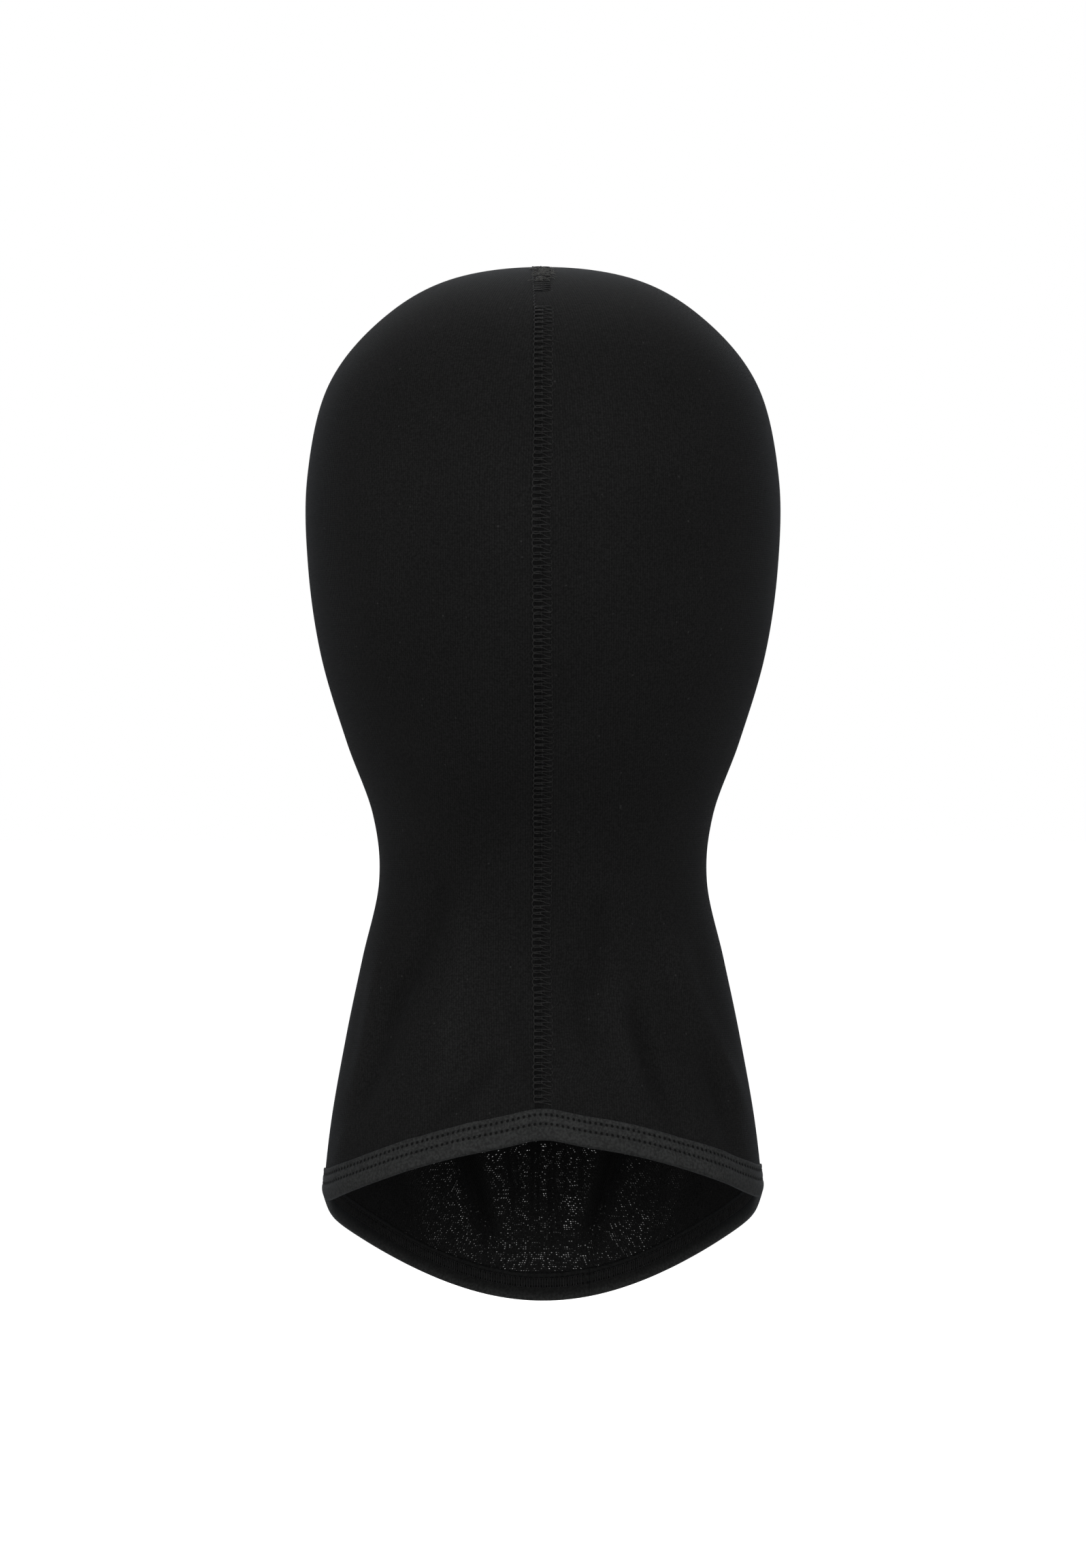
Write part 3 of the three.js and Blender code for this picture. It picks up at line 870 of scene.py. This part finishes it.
def meander(along):
    """The seam's small wander to the side."""
    return 0.28 * MM * np.sin(along / (21 * MM)) + 0.14 * MM * np.sin(along / (7.7 * MM) + 2)


def seam_present(along):
    """Which of these places still have their rungs."""
    height = SEAM_LINE.at(along, 0.0, 0.0)[..., 2]
    at_back = SEAM_LINE.value(along) > 0
    return ~(at_back & (height < SKIPPED[0]) & (height > SKIPPED[1]))


def seam_thread(threads, along, across, lift, radius, sides=6):
    """Adds tubes of thread along the seam."""
    across = across + meander(along)
    threads.add(SEAM_LINE.at(along, across, lift), up_of(SEAM_LINE, along, across), radius, sides)


def stitch_starts():
    """Where the seam's stitches lie along it, a little uneven."""
    starts = np.arange(0.6 * LADDER, SEAM_LINE.length - 0.6 * LADDER, LADDER)
    return starts + rng.normal(0, 0.10 * MM, len(starts))


def seam_cover(starts):
    """The thread on the outside. Each stitch of it goes across as two strands, and on its way back the
    lower one slants down to the right-hand line, where it runs on to the next stitch."""
    threads = Threads()
    left, centre, right = SEAM_LINES
    # One stitch as (across, along, lift) in millimetres from its start.
    shape = np.array([
        (right / MM, -0.30, 0.10),
        (right / MM + 0.5, -0.36, 0.34),
        (centre / MM - 1.0, -0.40, 0.42),
        (centre / MM, -0.34, 0.36),
        (centre / MM + 0.9, -0.30, 0.40),
        (left / MM - 0.7, -0.28, 0.42),
        (left / MM - 0.1, -0.14, 0.36),
        (left / MM - 0.1, 0.14, 0.36),
        (left / MM - 0.7, 0.26, 0.42),
        (centre / MM + 0.9, 0.28, 0.44),
        (centre / MM, 0.30, 0.38),
        (centre / MM - 0.9, 0.62, 0.36),
        (centre / MM - 1.8, 1.12, 0.30),
        (right / MM + 0.35, 1.42, 0.22),
        (right / MM, 1.56, 0.10),
    ])
    last = len(shape) - 1
    fine = np.linspace(0, last, 43)
    low = np.minimum(fine.astype(int), last - 1)
    before, after = shape[np.maximum(low - 1, 0)], shape[np.minimum(low + 2, last)]
    curve = spline(before, shape[low], shape[low + 1], after, (fine - low)[:, None])
    starts = starts[seam_present(starts)]
    count = len(starts)
    loose = smooth((starts - (SEAM_LINE.length - 9 * MM)) / (6 * MM))[:, None]
    jitter = rng.normal(0, 1, (count, 3, 1)) * (0.07 + 0.30 * loose[:, None])
    twist = rng.random((count, 1)) * 6
    t = np.linspace(0, 1, len(curve))[None]
    across = curve[None, :, 0] * MM + 0.10 * MM * jitter[:, 0] * np.sin(math.pi * t)
    along = starts[:, None] + curve[None, :, 1] * MM * (1 + 0.8 * jitter[:, 1])
    along = along + 0.05 * MM * np.sin(19 * t + twist)
    lift = (curve[None, :, 2] - 0.16) * MM * (1 + 0.3 * jitter[:, 2])
    thinner = 1 - 0.34 * smooth((centre - across) / (0.8 * MM))
    radius = 0.165 * MM * rng.uniform(0.88, 1.12, (count, 1)) * thinner
    seam_thread(threads, along, across, lift, radius)
    # A second ply beside the crossing strands, so that they look as thick as the textured thread is.
    part = slice(2, 31)
    side = 0.11 * MM * np.cos(14 * t + twist)[:, part]
    seam_thread(threads, along[:, part] + side, across[:, part], lift[:, part] + 0.05 * MM, 0.10 * MM)
    return threads.piece("seam_ladder_outside", SEAM_THREAD, ["back_seam_cover_thread"])


def seam_needle_lines(starts):
    """The needle threads: a scalloped line at each side, and short bars over the rungs in the middle."""
    threads = Threads()
    left, centre, right = SEAM_LINES
    t = np.linspace(0, 1, 9)[None]
    gaps = np.diff(starts)[:, None]
    whole = starts[:-1, None]
    bulge = np.sin(math.pi * t) * rng.uniform(0.7, 1.3, (len(whole), 1))
    lift = 0.16 * MM + 0.16 * MM * np.abs(np.sin(math.pi * t))
    seam_thread(threads, whole + gaps * t, left - 0.08 * MM + 0.42 * MM * bulge, lift, 0.14 * MM)
    there = seam_present(whole[:, 0])
    whole, gaps, bulge = whole[there], gaps[there], bulge[there]
    along = whole + gaps * (0.12 + 0.60 * t)
    seam_thread(threads, along, right - 0.20 * MM * bulge, lift - 0.12 * MM, 0.085 * MM)
    bars = whole + MM * rng.normal(0, 0.08, (len(whole), 1))
    lift = 0.34 * MM + 0.12 * MM * np.sin(math.pi * t)
    across = centre + 0.12 * MM * np.sin(math.pi * t + rng.random((len(whole), 1)))
    seam_thread(threads, bars + 1.1 * MM * (t - 0.5), across, lift, 0.125 * MM)
    return threads.piece("seam_needle_lines", SEAM_THREAD, [])


def seam_inside():
    """The inside of the seam: flat loops that zigzag across the join."""
    threads = Threads()
    half = (SEAM_LINES[0] - SEAM_LINES[2]) / 2
    centre = (SEAM_LINES[0] + SEAM_LINES[2]) / 2
    turns = SEAM_LINE.length / LADDER - 1
    t = np.linspace(0, turns, int(turns * 10))
    for shift in (0.0, 0.5):
        along = LADDER * (0.5 + t + 0.14 * np.sin(4 * math.pi * (t + shift)))
        across = centre + half * np.cos(2 * math.pi * (t + shift))
        lift = -(0.75 * MM + 0.05 * MM * np.cos(4 * math.pi * t + 3 * shift))
        seam_thread(threads, along[None], across[None], lift[None], 0.15 * MM)
    return threads.piece("seam_loops_inside", INNER_THREAD, ["back_seam_looper_thread"])


def loose_fibres():
    """A few short ends of fibre that stand off the seam and the cloth."""
    threads = Threads()
    count = 26
    t = np.linspace(0, 1, 7)[None]
    start = rng.uniform(0.35, 0.97, (count, 1)) * SEAM_LINE.length
    side = rng.choice([-1.0, 1.0], (count, 1))
    base = np.where(side > 0, SEAM_LINES[0], SEAM_LINES[2])
    reach = rng.uniform(0.8, 2.6, (count, 1)) * MM
    along = start + reach * rng.uniform(-1, 1, (count, 1)) * t**1.5
    across = base + side * reach * (t - 0.35 * t**2 * rng.random((count, 1)))
    lift = 0.2 * MM + reach * 0.4 * t * rng.random((count, 1))
    seam_thread(threads, along, across, lift, 0.045 * MM * (1.15 - 0.6 * t), sides=4)
    return threads.piece("loose_fibres", SEAM_THREAD, [])


def crown_fluff():
    """Frayed thread ends that stick out of the seam's stitches a little behind the crown; their pale
    colour is a painted highlight of the light that catches the seam there.
    """
    threads = Threads()
    count = 110
    t = np.linspace(0, 1, 8)[None]
    crown = float(np.interp(0.0, SEAM_LINE.values, SEAM_LINE.lengths))
    start = crown + rng.uniform(*FRAYED, (count, 1))
    base = rng.uniform(SEAM_LINES[2], SEAM_LINES[0], (count, 1))
    reach = rng.uniform(1.2, 3.2, (count, 1)) * MM
    turn = rng.uniform(0, 2 * math.pi, (count, 1))
    curl = turn + rng.uniform(-1.6, 1.6, (count, 1)) * t
    along = start + 0.6 * reach * t * np.sin(curl)
    across = base + reach * t * np.cos(curl)
    lift = 0.25 * MM + 0.45 * MM * np.sin(math.pi * t) * rng.uniform(0.3, 1, (count, 1))
    seam_thread(threads, along, across, lift, 0.075 * MM * (1.2 - 0.6 * t), sides=4)
    return threads.piece("crown_fluff", FLUFF_HIGHLIGHT, [])


# ---- the label ----------------------------------------------------------------------------------


def care_label():
    """A blank label caught under the hem binding inside the centre back, standing up in the hood."""
    low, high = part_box("care_label")
    half = (high.x - low.x) / 2 - 1 * MM
    length = 28 * MM
    thick = 0.22 * MM
    rows, columns = 40, 24
    t = np.linspace(0, 1, rows)[:, None]
    x = np.linspace(-half, half, columns)[None, :]
    reach = float(profile(2, station_at(hem_height(0))))
    curl = 0.5 * MM * np.sin(2.2 * t) * np.cos(x / half) - 0.35 * MM * (x / half) ** 2 * t
    up = BINDING - 0.9 * MM + length * t
    sides = [above_hem(x / reach + 0 * t, up + 0 * x, -(1.75 * MM + curl + face)) for face in (0, thick)]
    size = rows * columns
    quads = grid_faces(rows, columns)
    rim = np.concatenate([
        np.arange(columns),
        np.arange(1, rows) * columns + columns - 1,
        (rows - 1) * columns + np.arange(columns - 2, -1, -1),
        np.arange(rows - 2, 0, -1) * columns,
    ])
    after = np.roll(rim, -1)
    walls = np.stack([rim, rim + size, after + size, after], -1)
    uv = np.stack(np.broadcast_arrays(x, length * t), -1).reshape(-1, 2)
    return add_mesh(
        "care_label_woven",
        np.concatenate([side.reshape(-1, 3) for side in sides]),
        [quads, quads[:, ::-1] + size, walls],
        np.concatenate([uv, uv]),
        LABEL,
        ["care_label"],
    )


# ---- studio -------------------------------------------------------------------------------------

CAMERA_DISTANCE = 2.0
VIEW_HEIGHT = -0.1679  # the camera looks level at this height
VIEW_TALL = 0.5126  # how much it sees from top to bottom, at the middle of the object
FLOOR_HEIGHT = -0.47
FLOOR_HALF = 30.0

# Square lamps that look at the object: name, place, side and power.
LAMPS = (
    ("side_left", (1.45, 1.2, 0.1), 1.3, 7.6),
    ("side_right", (-1.45, 1.2, 0.1), 1.3, 6.8),
    ("overhead", (0, 0.8, 1.4), 1.2, 4.0),
    ("crown_rim", (0, -0.9, 1.3), 1.2, 5.0),
    ("front", (0, -1.7, 0.2), 1.3, 4.5),
)


def add_camera():
    data = bpy.data.cameras.new("camera")
    camera = bpy.data.objects.new("camera", data)
    bpy.context.scene.collection.objects.link(camera)
    camera.location = (0, CAMERA_DISTANCE, VIEW_HEIGHT)
    camera.rotation_euler = (math.radians(90), 0, math.radians(180))
    data.sensor_fit = "VERTICAL"
    data.angle = 2 * math.atan(VIEW_TALL / 2 / CAMERA_DISTANCE)
    bpy.context.scene.camera = camera


def add_world():
    """A white background; the light that it gives is dim, and a little stronger from below."""
    world = bpy.data.worlds.new("studio")
    world.use_nodes = True
    bpy.context.scene.world = world
    tree = world.node_tree
    background = tree.nodes["Background"]
    background.inputs["Color"].default_value = (1, 1, 1, 1)
    seen = tree.nodes.new("ShaderNodeLightPath").outputs["Is Camera Ray"]
    height = tree.nodes.new("ShaderNodeSeparateXYZ")
    tree.links.new(tree.nodes.new("ShaderNodeTexCoord").outputs["Generated"], height.inputs[0])
    around = tree.nodes.new("ShaderNodeMapRange")
    for socket, value in (("From Min", -0.9), ("From Max", 0.1), ("To Min", 0.20), ("To Max", 0.08)):
        around.inputs[socket].default_value = value
    tree.links.new(height.outputs[2], around.inputs["Value"])
    strength = tree.nodes.new("ShaderNodeMapRange")
    strength.inputs["To Max"].default_value = 1.0
    tree.links.new(seen, strength.inputs["Value"])
    tree.links.new(around.outputs[0], strength.inputs["To Min"])
    tree.links.new(strength.outputs[0], background.inputs["Strength"])


def add_lamps():
    for name, spot, size, power in LAMPS:
        light = bpy.data.lights.new(name, "AREA")
        light.size = size
        light.energy = power
        lamp = bpy.data.objects.new(name, light)
        lamp.location = spot
        aim = np.array([0, 0, VIEW_HEIGHT]) - np.array(spot)
        tilt = math.acos(-aim[2] / np.linalg.norm(aim))
        lamp.rotation_euler = (tilt, 0, math.atan2(-aim[0], aim[1]))
        lamp.visible_camera = False
        bpy.context.scene.collection.objects.link(lamp)


def add_floor():
    """White paper that looks evenly lit to the camera and gives the object no light."""
    mesh = bpy.data.meshes.new("floor")
    far = FLOOR_HALF
    mesh.from_pydata([(-far, -far, 0), (far, -far, 0), (far, far, 0), (-far, far, 0)], [], [(0, 1, 2, 3)])
    floor = bpy.data.objects.new("floor", mesh)
    floor.location.z = FLOOR_HEIGHT
    bpy.context.scene.collection.objects.link(floor)
    paper = bpy.data.materials.new("white_paper")
    paper.use_nodes = True
    shader = paper.node_tree.nodes["Principled BSDF"]
    shader.inputs["Base Color"].default_value = (0.8, 0.8, 0.8, 1)
    shader.inputs["Roughness"].default_value = 1.0
    shader.inputs["Emission Color"].default_value = (1, 1, 1, 1)
    shader.inputs["Emission Strength"].default_value = 1.0
    mesh.materials.append(paper)
    floor.visible_diffuse = False
    floor.visible_glossy = False


# ---- the balaclava ------------------------------------------------------------------------------

add_camera()
add_world()
add_lamps()
add_floor()
bpy.context.scene.view_settings.view_transform = "Standard"

body = knit_body()
hem_binding = binding(HEM_LINE, "neck_binding", "hem_binding")
face_binding = binding(FACE_LINE, "opening_binding", "face_binding")
hem_stitches = [
    needle_row(HEM_LINE, "neck_stitches_upper", "hem_stitch_upper", ROW_OUTER),
    needle_row(HEM_LINE, "neck_stitches_lower", "hem_stitch_lower", ROW_INNER),
    looper_rows(HEM_LINE, "neck_loops_inside", "hem_looper_thread"),
    bartack(HEM_LINE, "neck_bartack", "hem_bartack"),
]
face_stitches = [
    needle_row(FACE_LINE, "opening_stitches_outer", "face_stitch_outer", ROW_OUTER),
    needle_row(FACE_LINE, "opening_stitches_inner", "face_stitch_inner", ROW_INNER),
    looper_rows(FACE_LINE, "opening_loops_inside", "face_looper_thread"),
    bartack(FACE_LINE, "opening_bartack", "face_bartack"),
]
stitches = stitch_starts()
seam_pieces = [
    seam_cover(stitches),
    seam_needle_lines(stitches),
    seam_inside(),
    loose_fibres(),
    crown_fluff(),
]
label = care_label()
